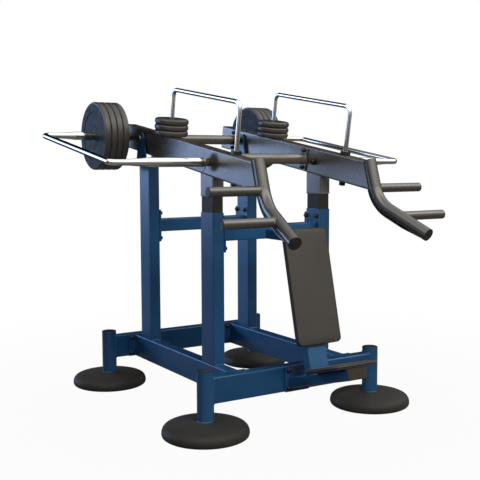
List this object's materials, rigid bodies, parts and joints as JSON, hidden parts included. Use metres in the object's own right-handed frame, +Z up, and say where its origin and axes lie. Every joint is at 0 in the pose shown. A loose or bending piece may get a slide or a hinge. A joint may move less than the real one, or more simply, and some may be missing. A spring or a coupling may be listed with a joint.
{
  "type": "outdoor shoulder press machine",
  "caption": "Plate-loaded outdoor shoulder press: steel frame on round feet, seat with back pad, pivoting twin levers with curved press handles and chrome plate rails.",
  "frame": {"origin": "on the ground, at the middle of the machine's footprint box", "axes": "+Z up, -Y to the front, where the user's seat is, and X across the machine"},
  "size_m": [1.927, 2.0823, 1.8245],
  "materials": {
    "blue_paint": "satin powder coat",
    "graphite_paint": "satin powder coat",
    "chrome_plate": "polished",
    "foot_rubber": "moulded",
    "plate_rubber": "moulded",
    "board": "painted",
    "pad": "vinyl"
  },
  "bodies": {
    "frame": {"rail_left": "blue_paint", "rail_right": "blue_paint", "front_beam": "blue_paint", "rear_beam": "blue_paint", "upright_front_left": "blue_paint", "upright_front_right": "blue_paint", "upright_rear_left": "blue_paint", "upright_rear_right": "blue_paint", "post_front_left": "blue_paint", "post_front_right": "blue_paint", "post_rear_left": "blue_paint", "post_rear_right": "blue_paint", "brace_front": "blue_paint", "brace_rear": "blue_paint", "seat_arm": "blue_paint", "spine": "blue_paint", "pivot_bracket_left": "blue_paint", "pivot_bracket_right": "blue_paint", "foot_front_left": "foot_rubber", "foot_front_right": "foot_rubber", "foot_rear_left": "foot_rubber", "foot_rear_right": "foot_rubber", "buffer_left": "foot_rubber", "buffer_right": "foot_rubber", "seat_board": "board", "back_board": "board", "seat_pad": "pad", "back_pad": "pad"},
    "press_arm": {"lever_left": "graphite_paint", "lever_right": "graphite_paint", "pivot_shaft_left": "graphite_paint", "pivot_shaft_right": "graphite_paint", "load_shaft_left": "graphite_paint", "load_shaft_right": "graphite_paint", "cross_tube_front": "graphite_paint", "cross_tube_rear": "graphite_paint", "press_tube_left": "graphite_paint", "press_tube_right": "graphite_paint", "handle_upper_left": "graphite_paint", "handle_upper_right": "graphite_paint", "handle_lower_left": "graphite_paint", "handle_lower_right": "graphite_paint", "chrome_loop_left": "chrome_plate", "chrome_loop_right": "chrome_plate", "u_bar_left": "chrome_plate", "u_bar_right": "chrome_plate"},
    "big_plates_left": {"big_plate_left_1": "plate_rubber", "big_plate_left_2": "plate_rubber", "big_plate_left_3": "plate_rubber", "big_plate_left_4": "plate_rubber"},
    "big_plates_right": {"big_plate_right_1": "plate_rubber", "big_plate_right_2": "plate_rubber", "big_plate_right_3": "plate_rubber", "big_plate_right_4": "plate_rubber"},
    "small_plates_left": {"small_plate_left_1": "plate_rubber", "small_plate_left_2": "plate_rubber", "small_plate_left_3": "plate_rubber"},
    "small_plates_right": {"small_plate_right_1": "plate_rubber", "small_plate_right_2": "plate_rubber", "small_plate_right_3": "plate_rubber"}
  },
  "joints": [
    {"name": "press_pivot", "type": "hinge", "parent": "frame", "child": "press_arm", "pos_m": [0, 0.5967, 1.543], "axis": [-1, 0, 0], "range_deg": [0, 30]},
    {"name": "big_plates_left_slide", "type": "slide", "parent": "press_arm", "child": "big_plates_left", "axis": [-1, 0, 0], "range_m": [0, 0.11]},
    {"name": "big_plates_right_slide", "type": "slide", "parent": "press_arm", "child": "big_plates_right", "axis": [1, 0, 0], "range_m": [0, 0.11]},
    {"name": "small_plates_left_slide", "type": "slide", "parent": "press_arm", "child": "small_plates_left", "axis": [0, -0.1599, 0.9871], "range_m": [0, 0.11]},
    {"name": "small_plates_right_slide", "type": "slide", "parent": "press_arm", "child": "small_plates_right", "axis": [0, -0.1599, 0.9871], "range_m": [0, 0.11]}
  ]
}
